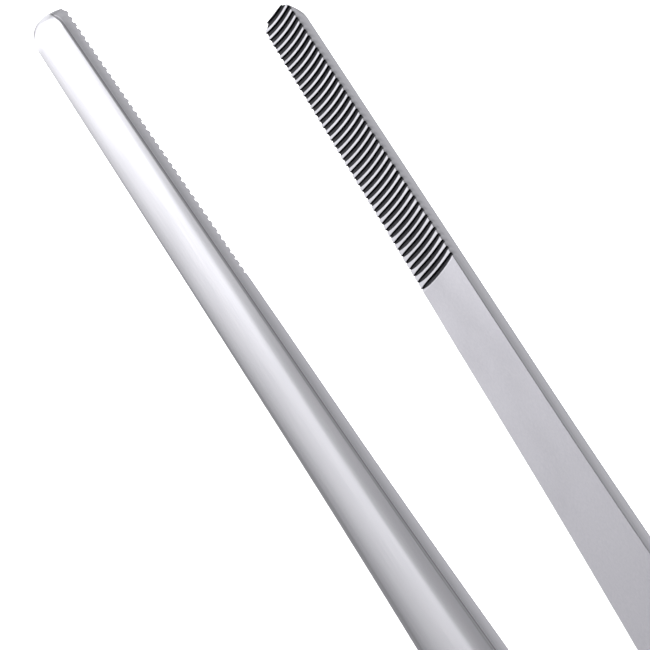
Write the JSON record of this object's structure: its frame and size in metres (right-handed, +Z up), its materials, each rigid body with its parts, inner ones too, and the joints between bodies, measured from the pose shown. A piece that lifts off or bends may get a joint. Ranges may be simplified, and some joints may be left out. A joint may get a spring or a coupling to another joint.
{
  "type": "aquascaping tweezers",
  "caption": "Long straight steel tweezers: two bowed blades joined at the tail, with ribbed grips, crowned backs and cross-toothed rounded tips.",
  "frame": {"origin": "on the surface that the tweezers lie on, in the middle of the overall length and between the two blades", "axes": "+X from the tail to the tips, Y across the opening with the left blade on +Y, +Z up along the blades' width"},
  "size_m": [0.27, 0.0282, 0.0095],
  "materials": {
    "polished_steel": "polished crowned back, satin inner face and brushed edges",
    "spring_steel": "polished back, satin inner face"
  },
  "bodies": {
    "tail": {"left_tail": "spring_steel", "right_tail": "spring_steel", "left_spring": "spring_steel", "right_spring": "spring_steel"},
    "left_arm": {"left_arm": "polished_steel"},
    "right_arm": {"right_arm": "polished_steel"}
  },
  "joints": [
    {"name": "left_flex", "type": "hinge", "parent": "tail", "child": "left_arm", "pos_m": [-0.101, 0.00225, 0.00475], "axis": [0, 0, -1], "range_deg": [0, 2.98], "stiffness_Nm_per_rad": 5.2, "deforming": ["left_spring"]},
    {"name": "right_flex", "type": "hinge", "parent": "tail", "child": "right_arm", "pos_m": [-0.101, -0.00225, 0.00475], "axis": [0, 0, 1], "range_deg": [0, 2.98], "stiffness_Nm_per_rad": 5.2, "deforming": ["right_spring"]}
  ],
  "couplings": [
    {"joint": "right_flex", "follows": "left_flex", "ratio": 1}
  ]
}
